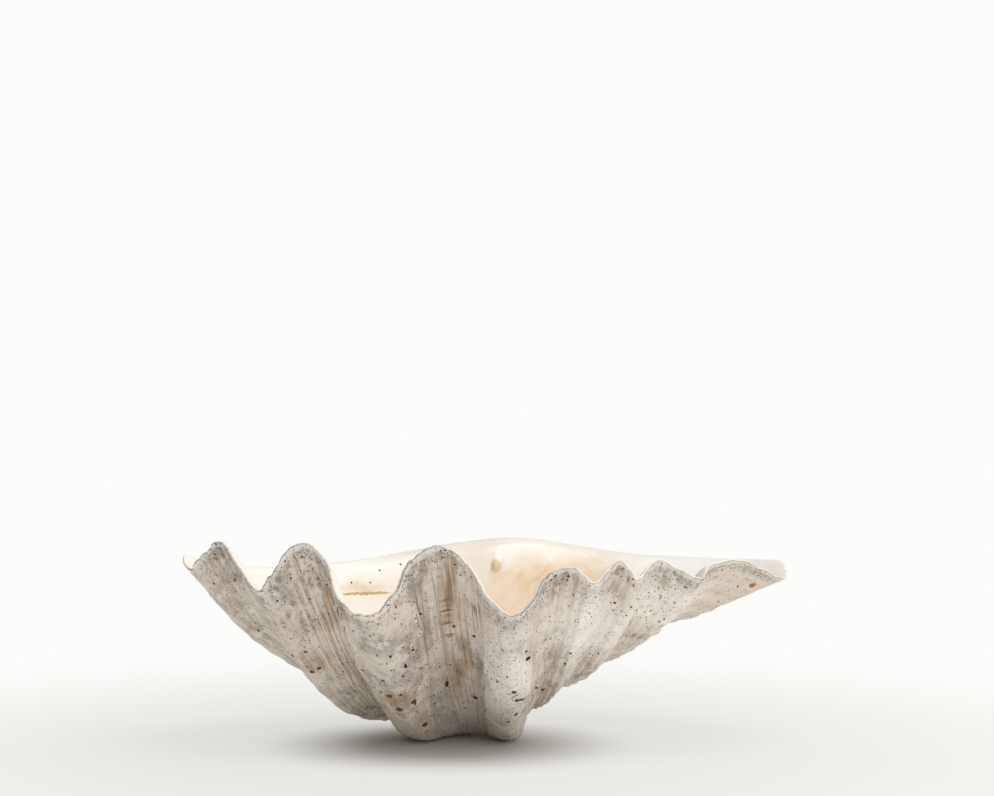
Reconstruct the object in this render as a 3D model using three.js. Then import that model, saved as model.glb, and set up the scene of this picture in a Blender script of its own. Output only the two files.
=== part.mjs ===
// One valve of a giant clam, lying on its back with the hollow side up.
// Units are millimetres, +Z is up, +X runs along the length, and the hinge margin is at +Y.
import * as THREE from "three";

// Main sizes
const UMBO = new THREE.Vector3(4, 82, 79); // the oldest point of the shell, tucked under the hinge
const HINGE_TURN_DEG = -3; // the hinge line seen from above, against the length
const HINGE_RISE_DEG = 0.7; // the hinge line's slope along the length
const COIL_DEG = 125; // how far the middle of the shell curls round the hinge line, umbo to rim
const COIL_SHAPE = 1.14; // 1 would spread the curl evenly over the growth
const GROWTH_POWER = 0.77; // size against age, below 1 for fast early growth
const LEFT_REACH = 170; // half-lengths that the left and right rules below are measured in
const RIGHT_REACH = 160;
const RIM_THICKNESS = 3.2;
const END_THICKNESS = 1.8; // the rim at the two sharp ends
const BODY_THICKNESS = 8; // wall in the deep part of the bowl
const HINGE_THICKNESS = 5.5; // the shelf under the hinge margin
const CALM_INSIDE = 0.8; // how much of the folding is filled in on the deep inside
const FLOOR_BLEND = 7; // below this height the ribs are worn flatter
const FLOOR_DROP = 9; // how far below the table an unworn rib would reach
const FLOOR_FLAT = 0.4; // the last of the wear, which leaves flat spots to stand on
const CAVITY = new THREE.Vector3(-4, 56, 49); // the deepest point of the hollow, in front of the umbo
const CAVITY_AGE = 0.46; // growth age at which the inside closes off
const YOUNG_AGE = 0.5; // before this age the front folds were still shallow
const YOUNG_AGE_RIGHT = 0.95; // the same for the small folds at the right
const YOUNG_SPAN = 0.5; // how long they took to deepen
const YOUNG_CALM = 0.65; // how much shallower they were at the umbo

// The rim
// tongue: the high end of a furrow. notch: the low end of a rib. flank: the slope between them.
// back: the plain margin beside the hinge. The last number leans the rib sideways on its way down.
const rimPoint = (kind) => (x, y, z, lean = 0) => ({ kind, x, y, z, lean });
const tongue = rimPoint("tongue");
const notch = rimPoint("notch");
const flank = rimPoint("flank");
const back = rimPoint("back");
const RIM = [
  back(9, 100.5, 98.5),
  back(-12.5, 98.5, 97.5),
  back(-33, 93.5, 96.5),
  back(-87, 67.5, 91),
  back(-128.5, 43.5, 90.5),
  back(-153.5, 23.5, 92.5),
  tongue(-169.5, 5.5, 100),
  notch(-163, -16.5, 94.5),
  flank(-155, -30.5, 102.5, -2),
  tongue(-144, -43.5, 111.5, -2),
  flank(-131, -58.5, 97.5, 1),
  notch(-120.5, -67.5, 87, 3),
  flank(-109, -74.5, 101.5),
  tongue(-95, -79.5, 113.5, -3),
  flank(-84, -81.5, 104.5, -2),
  flank(-77, -88.5, 85.5, 1),
  notch(-62, -97.5, 76.5, 4),
  flank(-47, -96.5, 87),
  flank(-38, -94.5, 104.5),
  tongue(-22, -94.5, 112.5, -1),
  flank(-9, -94.5, 103, -2),
  flank(2.5, -99.5, 86, -3),
  notch(14.5, -104.5, 77, -2),
  flank(26, -104.5, 85.5, -1),
  flank(32, -100.5, 96.5, -2),
  tongue(45, -97.5, 101.5, -3),
  notch(57.5, -99.5, 93, -3),
  tongue(71.5, -90.5, 104),
  notch(80.5, -90.5, 94.5, 4),
  tongue(92.5, -79.5, 103, 4),
  notch(115, -76, 93, 4),
  flank(119.5, -72.5, 99.5, 4),
  tongue(135, -56.5, 102, 4),
  notch(164, -26.5, 90),
  back(168, 15.5, 95.5),
  back(148.5, 57.5, 93),
  back(98.5, 89.5, 92),
  back(57, 101.5, 94),
  back(33, 103.5, 96.5),
];

const LEFT_END = 6.5; // places on the rim, counted in points
const RIGHT_END = 33.2;

// Mesh density
const COLUMNS_PER_POINT = 3;
const OUTER_ROWS = 18;
const INNER_ROWS = 15;

const COUNT = RIM.length;
const clamp01 = (v) => Math.min(1, Math.max(0, v));
const ease = (v) => clamp01(v) * clamp01(v) * (3 - 2 * clamp01(v));
const mix = (a, b, w) => a + (b - a) * w;

// The hinge line as a unit vector.
const turn = THREE.MathUtils.degToRad(HINGE_TURN_DEG);
const rise = THREE.MathUtils.degToRad(HINGE_RISE_DEG);
const HINGE = new THREE.Vector3(
  Math.cos(turn) * Math.cos(rise),
  Math.sin(turn) * Math.cos(rise),
  Math.sin(rise),
);

// A closed curve through points, each at its own place `at` on a loop of length COUNT.
function loopThrough(points) {
  const n = points.length;
  const spot = (i) => points[((i % n) + n) % n];
  const place = (i) => spot(i).at + COUNT * Math.floor(i / n);
  const point = (i) => new THREE.Vector3(spot(i).x, spot(i).y, spot(i).z);
  const gap = (i) => point(i).distanceTo(point(i + 1));
  const slope = (i) => {
    const s = point(i + 1).sub(point(i - 1)).divideScalar(gap(i - 1) + gap(i));
    if (spot(i).kind === "tongue" || spot(i).kind === "notch") s.z = 0;
    return s;
  };
  return (t) => {
    let i = 0;
    const at = ((t % COUNT) + COUNT) % COUNT;
    while (i < n - 1 && points[i + 1].at <= at) i += 1;
    if (at < points[0].at) i = -1;
    const u = (at - place(i)) / (place(i + 1) - place(i));
    const d = gap(i);
    return point(i)
      .multiplyScalar(2 * u ** 3 - 3 * u ** 2 + 1)
      .addScaledVector(slope(i), d * (u ** 3 - 2 * u ** 2 + u))
      .addScaledVector(point(i + 1), -2 * u ** 3 + 3 * u ** 2)
      .addScaledVector(slope(i + 1), d * (u ** 3 - u ** 2));
  };
}

const placed = RIM.map((p, at) => ({ ...p, at }));
const foldedRim = loopThrough(placed);
const furrowRim = loopThrough(placed.filter((p) => p.kind === "tongue" || p.kind === "back"));
const ribRim = loopThrough(placed.filter((p) => p.kind === "notch" || p.kind === "back"));

function leanAt(t) {
  const i = Math.floor(t);
  const from = RIM[((i % COUNT) + COUNT) % COUNT].lean;
  const to = RIM[(((i + 1) % COUNT) + COUNT) % COUNT].lean;
  return mix(from, to, ease(t - i));
}

// 0 on one side of the umbo, and rising smoothly to about 1 at the far end of the other.
const reach = (v) => Math.hypot(Math.max(0, v), 0.1) - 0.1;

// Where the rim point M was when the shell had the given age, 0 at the umbo and 1 now.
function grow(M, lean, age) {
  const v = M.clone().sub(UMBO);
  const along = v.dot(HINGE);
  const arm = v.addScaledVector(HINGE, -along);
  const cross = new THREE.Vector3().crossVectors(HINGE, arm);
  const left = reach(-along / LEFT_REACH);
  const right = reach(along / RIGHT_REACH);
  const curl = 1 - 0.03 * left - 1.1 * right + 0.6 * right ** 2;
  const spread = 0.973 - 0.154 * left + 0.037 * right;
  const sway = lean + 3.2 - 7.5 * left - 2.3 * right;
  const angle = THREE.MathUtils.degToRad(COIL_DEG) * curl * (1 - age) ** COIL_SHAPE;
  const size = age ** GROWTH_POWER;
  return UMBO.clone()
    .addScaledVector(HINGE, along * age ** spread + sway * 4 * age * (1 - age))
    .addScaledVector(arm, size * Math.cos(angle))
    .addScaledVector(cross, size * Math.sin(angle));
}

// Ribs that reach the table are worn to it.
function wear(p) {
  if (p.z < FLOOR_BLEND) {
    const span = FLOOR_BLEND + FLOOR_DROP;
    const share = Math.max(0, (p.z + FLOOR_DROP) / span);
    p.z = Math.max(0, FLOOR_BLEND * share ** (span / FLOOR_BLEND) - FLOOR_FLAT * (1 - share));
  }
  return p;
}

// The outside, whose folds grew deeper with age.
function outside(t, age) {
  const youngAge = mix(YOUNG_AGE, YOUNG_AGE_RIGHT, ease((t - 24) / 2.5));
  const young = YOUNG_CALM * ease((youngAge - age) / YOUNG_SPAN);
  const middle = furrowRim(t).lerp(ribRim(t), 0.5);
  return wear(grow(foldedRim(t).lerp(middle, young), leanAt(t), age));
}

// The inside follows the outside at the rim, and a calmer form further in.
function insideBase(t, age) {
  const calm = CALM_INSIDE * ease((1 - age) / 0.4);
  const M = foldedRim(t).lerp(furrowRim(t), calm);
  return wear(grow(M, leanAt(t) * (1 - calm), age));
}

// 1 beside the umbo on the hinge margin, 0 by the ends and the front.
function hingeShare(t) {
  const fromUmbo = Math.min(t, COUNT - t);
  return 1 - ease((fromUmbo - 1.5) / 3);
}

// 1 at the left and right ends of the rim, 0 elsewhere.
function endShare(t) {
  const fromEnd = Math.min(Math.abs(t - LEFT_END), Math.abs(t - RIGHT_END));
  return 1 - ease(fromEnd / 2);
}

const rimThickness = (t) => mix(RIM_THICKNESS, END_THICKNESS, endShare(t));

function inwardNormal(t, age) {
  const dt = 0.12;
  const da = 0.012;
  const a = Math.min(1 - da, age);
  const alongRim = insideBase(t + dt, age).sub(insideBase(t - dt, age));
  const towardRim = insideBase(t, a + da).sub(insideBase(t, a - da));
  return towardRim.cross(alongRim).normalize();
}

function inside(t, age) {
  const body = mix(rimThickness(t), BODY_THICKNESS, ease((1 - age) / 0.55));
  const hinge = mix(rimThickness(t), HINGE_THICKNESS, ease((1 - age) / 0.2));
  const wall = mix(body, hinge, hingeShare(t));
  return insideBase(t, age).addScaledVector(inwardNormal(t, age), wall);
}

// The rounded lip between the outside and the inside.
function lip(t) {
  const outer = outside(t, 1);
  const inner = inside(t, 1);
  const onward = outer.clone().sub(outside(t, 0.98)).normalize();
  return outer.add(inner).multiplyScalar(0.5).addScaledVector(onward, rimThickness(t) * 0.35);
}

// Row 0 is the inside's furthest point, the middle rows are the lip, and the last row is the umbo.
function shellPoint(t, row) {
  if (row > INNER_ROWS + 1) {
    const down = (row - INNER_ROWS - 2) / OUTER_ROWS;
    return outside(t, 1 - down);
  }
  if (row === INNER_ROWS + 1) return lip(t);
  const deep = 1 - row / INNER_ROWS;
  const start = mix(0.6, 0.8, hingeShare(t));
  const closing = clamp01((deep - start) / (1 - start)) ** 1.5;
  return inside(t, mix(1, CAVITY_AGE, deep)).lerp(CAVITY, closing);
}

// A globe whose top half becomes the inside and whose bottom half becomes the outside.
const columns = COUNT * COLUMNS_PER_POINT;
const rows = INNER_ROWS + OUTER_ROWS + 2;
const geometry = new THREE.SphereGeometry(100, columns, rows);
const position = geometry.getAttribute("position");
for (let i = 0; i < position.count; i += 1) {
  const row = Math.floor(i / (columns + 1));
  const column = (i % (columns + 1)) % columns;
  const p = shellPoint(column / COLUMNS_PER_POINT, row);
  if (row === 0) p.copy(CAVITY);
  if (row === rows) p.copy(UMBO);
  position.setXYZ(i, p.x, p.y, p.z);
}

// The frame's origin is under the middle of the box round the shell.
geometry.computeBoundingBox();
const box = geometry.boundingBox;
geometry.translate(-(box.min.x + box.max.x) / 2, -(box.min.y + box.max.y) / 2, -box.min.z);
geometry.computeVertexNormals();

const material = new THREE.MeshStandardMaterial({ color: 0xd3c7b5, roughness: 0.6, side: THREE.DoubleSide });
const valve = new THREE.Mesh(geometry, material);
valve.name = "valve";

const group = new THREE.Group();
group.name = "giant_clam_valve";
group.add(valve);
export default group;
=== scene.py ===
"""One valve of a giant clam, lying on its back with the hollow side up.

The form grows from the rim by the same rule as the solid it stands for, on a finer mesh, and carries what
is too small for the solid: riblets, growth stops, the channel's sides, pits and wear. Lengths in the
classes are millimetres, unless a name says otherwise, and the meshes are written in metres.
"""

import logging
import math
from collections.abc import Collection, Sequence
from dataclasses import dataclass, field, replace
from enum import Enum
from typing import ClassVar

import bmesh
import bpy
import numpy as np
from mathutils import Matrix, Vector


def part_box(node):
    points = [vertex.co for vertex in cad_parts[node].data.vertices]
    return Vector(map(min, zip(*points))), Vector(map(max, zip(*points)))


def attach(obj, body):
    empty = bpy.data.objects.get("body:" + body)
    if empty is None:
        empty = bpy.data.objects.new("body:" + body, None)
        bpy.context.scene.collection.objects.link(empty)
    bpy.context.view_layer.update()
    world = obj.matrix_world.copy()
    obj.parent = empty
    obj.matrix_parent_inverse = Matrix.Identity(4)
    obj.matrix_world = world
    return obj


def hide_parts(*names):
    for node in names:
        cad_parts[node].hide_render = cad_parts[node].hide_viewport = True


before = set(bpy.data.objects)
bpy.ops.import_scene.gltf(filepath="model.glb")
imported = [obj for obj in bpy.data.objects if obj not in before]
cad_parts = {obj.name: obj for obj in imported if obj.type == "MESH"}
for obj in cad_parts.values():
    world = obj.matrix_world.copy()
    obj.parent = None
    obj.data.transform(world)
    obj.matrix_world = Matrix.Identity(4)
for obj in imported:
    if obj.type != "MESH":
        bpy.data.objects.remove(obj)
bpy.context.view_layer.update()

Array = np.ndarray
Place = tuple[float, float, float]
Table = tuple[tuple[float, float], ...]
MM = 0.001
OCTAVE_SHIFT = 17.3  # keeps the lattices of finer noise from lining up
NOISE_GAIN = 1.6  # brings one octave of noise to about -1 to 1
LOG = logging.getLogger("giant_clam")


# Small helpers


def ease(value: Array | float) -> Array:
    """Goes smoothly from 0 to 1 as value does, and stays there outside."""
    held = np.clip(value, 0.0, 1.0)
    return held * held * (3.0 - 2.0 * held)


def mix(start: Array | float, end: Array | float, share: Array | float) -> Array:
    """Returns the value that lies share of the way from start to end."""
    return start + (end - start) * share


def read_off(table: Table, at: Array) -> Array:
    """Returns a table's second column at places in its first, with straight lines between rows."""
    return np.interp(at, [row[0] for row in table], [row[1] for row in table])


def rough(places: Array, size: float, octaves: int = 1, seed: int = 0) -> Array:
    """Smooth random values, about -1 to 1, for points in space: gradients on a lattice, blended.

    Args:
        places: points, as rows of x, y and z.
        size: how far apart unrelated values are, in the points' own unit.
        octaves: how many finer layers are added.
        seed: picks the pattern.

    Returns:
        One value for each point.
    """
    draw = np.random.default_rng(seed)
    order = draw.permutation(256)
    slopes = draw.normal(size=(256, 3))
    slopes /= np.linalg.norm(slopes, axis=1, keepdims=True)
    total = np.zeros(places.shape[:-1])
    for octave in range(octaves):
        spot = places * (2.0**octave / size) + OCTAVE_SHIFT * octave
        cell = np.floor(spot).astype(int)
        part = spot - cell
        fade = part**3 * (part * (part * 6 - 15) + 10)
        for corner in np.ndindex(2, 2, 2):
            x, y, z = np.moveaxis(cell + corner, -1, 0) & 255
            slope = slopes[order[(order[(order[x] + y) & 255] + z) & 255]]
            weight = np.prod(np.where(corner, fade, 1 - fade), axis=-1)
            total += 0.5**octave * NOISE_GAIN * weight * np.sum(slope * (part - corner), axis=-1)
    return total


def linear(code: str, alpha: float = 1.0) -> tuple[float, float, float, float]:
    """Turns an sRGB colour into linear light.

    Args:
        code: six hex digits.
        alpha: the fourth value.

    Returns:
        Red, green, blue and alpha.
    """
    channels = [int(code[i : i + 2], 16) / 255.0 for i in (0, 2, 4)]
    light = [c / 12.92 if c <= 0.04045 else ((c + 0.055) / 1.055) ** 2.4 for c in channels]
    return (*light, alpha)


def add_object(name: str, data: bpy.types.ID) -> bpy.types.Object:
    """Makes an object at the origin and puts it in the scene.

    Args:
        name: the object's name.
        data: its mesh, light or camera.

    Returns:
        The object.
    """
    made = bpy.data.objects.new(name, data)
    bpy.context.scene.collection.objects.link(made)
    return made


def add_mesh(name: str, shape: bmesh.types.BMesh) -> bpy.types.Object:
    """Turns a finished shape into a mesh object, and frees the shape.

    Args:
        name: the name of the mesh and of the object.
        shape: the shape.

    Returns:
        The object.
    """
    mesh = bpy.data.meshes.new(name)
    shape.to_mesh(mesh)
    shape.free()
    return add_object(name, mesh)


def empty_tree(owner: bpy.types.Material | bpy.types.World) -> bpy.types.NodeTree:
    """Gives a material or a world a node tree without nodes.

    Args:
        owner: the material or world.

    Returns:
        The node tree.
    """
    owner.use_nodes = True
    owner.node_tree.nodes.clear()
    return owner.node_tree


# The rim


class RimKind(Enum):
    """What a rim point stands on."""

    TONGUE = "the high end of a furrow"
    NOTCH = "the low end of a rib"
    FLANK = "the slope between the two"
    BACK = "the plain margin beside the hinge"


@dataclass(frozen=True)
class RimPoint:
    """One point of the rim. The lean moves the shell below it sideways."""

    kind: RimKind
    x: float
    y: float
    z: float
    lean: float = 0.0


RIM: tuple[RimPoint, ...] = (
    RimPoint(RimKind.BACK, 9, 100.5, 98.5),
    RimPoint(RimKind.BACK, -12.5, 98.5, 97.5),
    RimPoint(RimKind.BACK, -33, 93.5, 96.5),
    RimPoint(RimKind.BACK, -87, 67.5, 91),
    RimPoint(RimKind.BACK, -128.5, 43.5, 90.5),
    RimPoint(RimKind.BACK, -153.5, 23.5, 92.5),
    RimPoint(RimKind.TONGUE, -169.5, 5.5, 100),
    RimPoint(RimKind.NOTCH, -163, -16.5, 94.5),
    RimPoint(RimKind.FLANK, -155, -30.5, 102.5, -2),
    RimPoint(RimKind.TONGUE, -144, -43.5, 111.5, -2),
    RimPoint(RimKind.FLANK, -131, -58.5, 97.5, 1),
    RimPoint(RimKind.NOTCH, -120.5, -67.5, 87, 3),
    RimPoint(RimKind.FLANK, -109, -74.5, 101.5),
    RimPoint(RimKind.TONGUE, -95, -79.5, 113.5, -3),
    RimPoint(RimKind.FLANK, -84, -81.5, 104.5, -2),
    RimPoint(RimKind.FLANK, -77, -88.5, 85.5, 1),
    RimPoint(RimKind.NOTCH, -62, -97.5, 76.5, 4),
    RimPoint(RimKind.FLANK, -47, -96.5, 87),
    RimPoint(RimKind.FLANK, -38, -94.5, 104.5),
    RimPoint(RimKind.TONGUE, -22, -94.5, 112.5, -1),
    RimPoint(RimKind.FLANK, -9, -94.5, 103, -2),
    RimPoint(RimKind.FLANK, 2.5, -99.5, 86, -3),
    RimPoint(RimKind.NOTCH, 14.5, -104.5, 77, -2),
    RimPoint(RimKind.FLANK, 26, -104.5, 85.5, -1),
    RimPoint(RimKind.FLANK, 32, -100.5, 96.5, -2),
    RimPoint(RimKind.TONGUE, 45, -97.5, 101.5, -3),
    RimPoint(RimKind.NOTCH, 57.5, -99.5, 93, -3),
    RimPoint(RimKind.TONGUE, 71.5, -90.5, 104),
    RimPoint(RimKind.NOTCH, 80.5, -90.5, 94.5, 4),
    RimPoint(RimKind.TONGUE, 92.5, -79.5, 103, 4),
    RimPoint(RimKind.NOTCH, 115, -76, 93, 4),
    RimPoint(RimKind.FLANK, 119.5, -72.5, 99.5, 4),
    RimPoint(RimKind.TONGUE, 135, -56.5, 102, 4),
    RimPoint(RimKind.NOTCH, 164, -26.5, 90),
    RimPoint(RimKind.BACK, 168, 15.5, 95.5),
    RimPoint(RimKind.BACK, 148.5, 57.5, 93),
    RimPoint(RimKind.BACK, 98.5, 89.5, 92),
    RimPoint(RimKind.BACK, 57, 101.5, 94),
    RimPoint(RimKind.BACK, 33, 103.5, 96.5),
)
COUNT = len(RIM)


class RimLoop:
    """A smooth closed curve through some of the rim points, level at tongues and notches."""

    def __init__(self, kinds: Collection[RimKind]) -> None:
        """Takes the rim points of these kinds.

        Args:
            kinds: the kinds that the curve goes through.
        """
        kept = [i for i, point in enumerate(RIM) if point.kind in kinds]
        self.at = np.array(kept, float)
        self.points = np.array([(RIM[i].x, RIM[i].y, RIM[i].z) for i in kept], float)
        ahead = np.roll(self.points, -1, axis=0)
        behind = np.roll(self.points, 1, axis=0)
        self.gap = np.linalg.norm(ahead - self.points, axis=1)
        self.slope = (ahead - behind) / (np.roll(self.gap, 1) + self.gap)[:, None]
        level = [RIM[i].kind in (RimKind.TONGUE, RimKind.NOTCH) for i in kept]
        self.slope[level, 2] = 0.0

    def __call__(self, t: Array) -> Array:
        """Finds points of the curve.

        Args:
            t: places on the rim, where the first rim point is 0 and the next is 1.

        Returns:
            The points.
        """
        t = np.mod(t, COUNT)
        i = np.searchsorted(self.at, t, side="right") - 1
        j = (i + 1) % len(self.at)
        start = np.where(i < 0, self.at[-1] - COUNT, self.at[i])
        end = np.where(i == len(self.at) - 1, COUNT + self.at[0], self.at[j])
        u = ((t - start) / (end - start))[..., None]
        gap = self.gap[i][..., None]
        return (
            self.points[i] * (2 * u**3 - 3 * u**2 + 1)
            + self.slope[i] * gap * (u**3 - 2 * u**2 + u)
            + self.points[j] * (3 * u**2 - 2 * u**3)
            + self.slope[j] * gap * (u**3 - u**2)
        )


def along_rim(values: Sequence[float], t: Array) -> Array:
    """Goes smoothly from one rim point's value to the next.

    Args:
        values: one value for each rim point.
        t: places on the rim.

    Returns:
        The value at each place.
    """
    table = np.array(values, float)
    i = np.floor(t).astype(int)
    return mix(table[i % COUNT], table[(i + 1) % COUNT], ease(t - i))


# The form


@dataclass(frozen=True)
class GrowthRule:
    """Where each rim point was at an earlier age, 0 at the umbo and 1 now.

    The left and right values are what a point one reach away on that side adds or takes.
    """

    umbo: Place = (4.0, 82.0, 79.0)
    hinge_turn_deg: float = -3.0
    hinge_rise_deg: float = 0.7
    coil_deg: float = 125.0
    coil_shape: float = 1.14
    power: float = 0.77
    left_reach: float = 170.0
    right_reach: float = 160.0
    reach_softness: float = 0.1
    curl_lost_left: float = 0.03
    curl_lost_right: float = 1.1
    curl_kept_far_right: float = 0.6
    spread: float = 0.973
    spread_lost_left: float = 0.154
    spread_gained_right: float = 0.037
    sway: float = 3.2
    sway_lost_left: float = 7.5
    sway_lost_right: float = 2.3

    def hinge(self) -> Array:
        """Returns the hinge line's direction."""
        turn, rise = math.radians(self.hinge_turn_deg), math.radians(self.hinge_rise_deg)
        return np.array([math.cos(turn) * math.cos(rise), math.sin(turn) * math.cos(rise), math.sin(rise)])

    def grow(self, rim: Array, lean: Array, age: Array) -> Array:
        """Turns rim points round the hinge line and shrinks them to an earlier age.

        Args:
            rim: points of the rim.
            lean: how far each leans sideways on its way.
            age: the age of each.

        Returns:
            The points at those ages.
        """
        hinge = self.hinge()
        reach = rim - np.array(self.umbo)
        along = reach @ hinge
        arm = reach - along[..., None] * hinge
        cross = np.cross(hinge, arm)
        soft = self.reach_softness
        left = np.hypot(np.maximum(0, -along / self.left_reach), soft) - soft
        right = np.hypot(np.maximum(0, along / self.right_reach), soft) - soft
        curl = 1 - self.curl_lost_left * left - self.curl_lost_right * right
        curl = curl + self.curl_kept_far_right * right**2
        spread = self.spread - self.spread_lost_left * left + self.spread_gained_right * right
        sway = lean + self.sway - self.sway_lost_left * left - self.sway_lost_right * right
        angle = math.radians(self.coil_deg) * curl * (1 - age) ** self.coil_shape
        size = age**self.power
        sideways = along * age**spread + sway * 4 * age * (1 - age)
        return (
            np.array(self.umbo)
            + hinge * sideways[..., None]
            + arm * (size * np.cos(angle))[..., None]
            + cross * (size * np.sin(angle))[..., None]
        )


@dataclass(frozen=True)
class ValveForm:
    """The smooth shell: outside, inside and the rounded lip between them.

    A span is the age, or the number of rim points, over which a change takes place.
    """

    rule: GrowthRule = GrowthRule()
    rim_thickness: float = 3.2
    end_thickness: float = 1.8
    worn_lip: float = 0.62
    body_thickness: float = 8.0
    hinge_thickness: float = 5.5
    lip_span: float = 0.035
    body_span: float = 0.55
    hinge_span: float = 0.2
    calm_inside: float = 1.0
    calm_span: float = 0.42
    floor_blend: float = 7.0
    floor_drop: float = 9.0
    floor_flat: float = 0.4
    cavity: Place = (-4.0, 56.0, 49.0)
    cavity_age: float = 0.46
    closing_from: float = 0.6
    closing_from_hinge: float = 0.8
    closing_power: float = 1.5
    young_age: float = 0.5
    young_age_right: float = 0.95
    young_span: float = 0.5
    young_calm: float = 0.65
    small_folds_from: float = 24.0
    small_folds_span: float = 2.5
    left_end: float = 6.5
    right_end: float = 33.2
    end_span: float = 2.0
    beside_hinge: float = 1.5
    beside_hinge_span: float = 3.0
    folded: RimLoop = field(default_factory=lambda: RimLoop(tuple(RimKind)))
    furrows: RimLoop = field(default_factory=lambda: RimLoop((RimKind.TONGUE, RimKind.BACK)))
    ribs: RimLoop = field(default_factory=lambda: RimLoop((RimKind.NOTCH, RimKind.BACK)))

    def wear(self, points: Array) -> Array:
        """Flattens what hangs lowest, so that the shell stands on worn spots.

        Args:
            points: points of the unworn form.

        Returns:
            The points, none of them below the table.
        """
        low = points[..., 2]
        span = self.floor_blend + self.floor_drop
        share = np.maximum(0, (low + self.floor_drop) / span)
        worn = self.floor_blend * share ** (span / self.floor_blend)
        worn = np.maximum(0, worn - self.floor_flat * (1 - share))
        kept = points.copy()
        kept[..., 2] = np.where(low < self.floor_blend, worn, low)
        return kept

    def lean(self, t: Array) -> Array:
        """Returns the sideways lean at rim places t."""
        return along_rim([point.lean for point in RIM], t)

    def outside(self, t: Array, age: Array) -> Array:
        """Finds the outer surface.

        Args:
            t: rim places.
            age: the age at each.

        Returns:
            Its points.
        """
        among_small = ease((t - self.small_folds_from) / self.small_folds_span)
        young_age = mix(self.young_age, self.young_age_right, among_small)
        young = (self.young_calm * ease((young_age - age) / self.young_span))[..., None]
        middle = mix(self.furrows(t), self.ribs(t), 0.5)
        rim = mix(self.folded(t), middle, young)
        return self.wear(self.rule.grow(rim, self.lean(t), age))

    def inner_base(self, t: Array, age: Array) -> Array:
        """Finds the calmer surface that the inside is a wall's thickness above.

        Args:
            t: rim places.
            age: the age at each.

        Returns:
            Its points.
        """
        calm = self.calm_inside * ease((1 - age) / self.calm_span)
        rim = mix(self.folded(t), self.furrows(t), calm[..., None])
        return self.wear(self.rule.grow(rim, self.lean(t) * (1 - calm), age))

    def hinge_share(self, t: Array) -> Array:
        """Returns 1 beside the hinge, 0 away from it."""
        return 1 - ease((np.minimum(t, COUNT - t) - self.beside_hinge) / self.beside_hinge_span)

    def rim_wall(self, t: Array) -> Array:
        """Returns the wall's thickness near the rim, less at the two sharp ends."""
        from_end = np.minimum(np.abs(t - self.left_end), np.abs(t - self.right_end))
        return mix(self.end_thickness, self.rim_thickness, ease(from_end / self.end_span))

    def inside(self, t: Array, age: Array) -> Array:
        """Finds the inner surface.

        Args:
            t: rim places.
            age: the age at each.

        Returns:
            Its points.
        """
        near, earlier = 0.12, 0.012  # steps to neighbouring points, along the rim and in age
        held = np.minimum(1 - earlier, age)
        round_rim = self.inner_base(t + near, age) - self.inner_base(t - near, age)
        to_rim = self.inner_base(t, held + earlier) - self.inner_base(t, held - earlier)
        inward = np.cross(to_rim, round_rim)
        inward /= np.linalg.norm(inward, axis=-1, keepdims=True)
        edge = self.rim_wall(t) * mix(self.worn_lip, 1.0, ease((1 - age) / self.lip_span))
        body = mix(edge, self.body_thickness, ease((1 - age) / self.body_span))
        hinge = mix(edge, self.hinge_thickness, ease((1 - age) / self.hinge_span))
        wall = mix(body, hinge, self.hinge_share(t))
        return self.inner_base(t, age) + inward * wall[..., None]

    def deep_inside(self, t: Array, deep: Array, age_of_rim: Array) -> Array:
        """Follows the inner surface down to one point at the bottom of the hollow.

        Args:
            t: rim places.
            deep: 0 at the rim, 1 at the bottom.
            age_of_rim: how full the age is at the rim.

        Returns:
            The points.
        """
        start = mix(self.closing_from, self.closing_from_hinge, self.hinge_share(t))
        closing = np.clip((deep - start) / (1 - start), 0, 1) ** self.closing_power
        wall = self.inside(t, mix(1.0, self.cavity_age, deep) * age_of_rim)
        return mix(wall, np.array(self.cavity), closing[..., None])


# Surface detail, as heights along the surface's normal. Tables give values by rim place or by age, and a
# size is how far apart unrelated values of a random pattern are.


@dataclass(frozen=True)
class Riblets:
    """Fine ridges that run from the umbo to the rim, strongest in the furrows."""

    height: float = 1.15
    mean_wave: float = 0.45
    sharpness: float = 1.5
    wander: float = 0.5
    wander_size: float = 24.0
    break_size: float = 9.0
    first_age: float = 0.3
    fade_span: float = 0.3
    pitch: Table = (
        (0, 7.5), (12, 7.0), (13, 4.6), (15, 4.8), (16, 7), (18, 5.6), (21, 6), (24, 6.2), (39, 6.5),
    )
    strength: Table = (
        (0, 0.1), (6, 0.12), (7, 0.45), (12, 0.5), (12.8, 0.95), (15, 1.0), (15.6, 0.16), (17.6, 0.12),
        (18.4, 0.42), (20.4, 0.42), (20.8, 0.12), (23.4, 0.14), (24.1, 1.0), (31, 1.05), (32, 0.3),
        (33.5, 0.25), (34.5, 0.1), (39, 0.1),
    )

    def relief(self, t: Array, age: Array, turns: Array, ring: Array) -> Array:
        """Works out the riblets' height.

        Args:
            t: rim places.
            age: ages.
            turns: how many riblets lie before each place.
            ring: growth coordinates, which have no seam.

        Returns:
            Heights, about 0 on average.
        """
        drift = self.wander * rough(ring * (1, 1, 0.2), self.wander_size, 2, 1)
        wave = 0.5 + 0.5 * np.cos(2 * math.pi * (turns + drift))
        uneven = 0.75 + 0.6 * rough(ring * (1, 1, 0.12), self.break_size, 1, 11)
        fade = ease((age - self.first_age) / self.fade_span)
        ridge = wave**self.sharpness - self.mean_wave
        return self.height * read_off(self.strength, t) * fade * uneven * ridge


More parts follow.
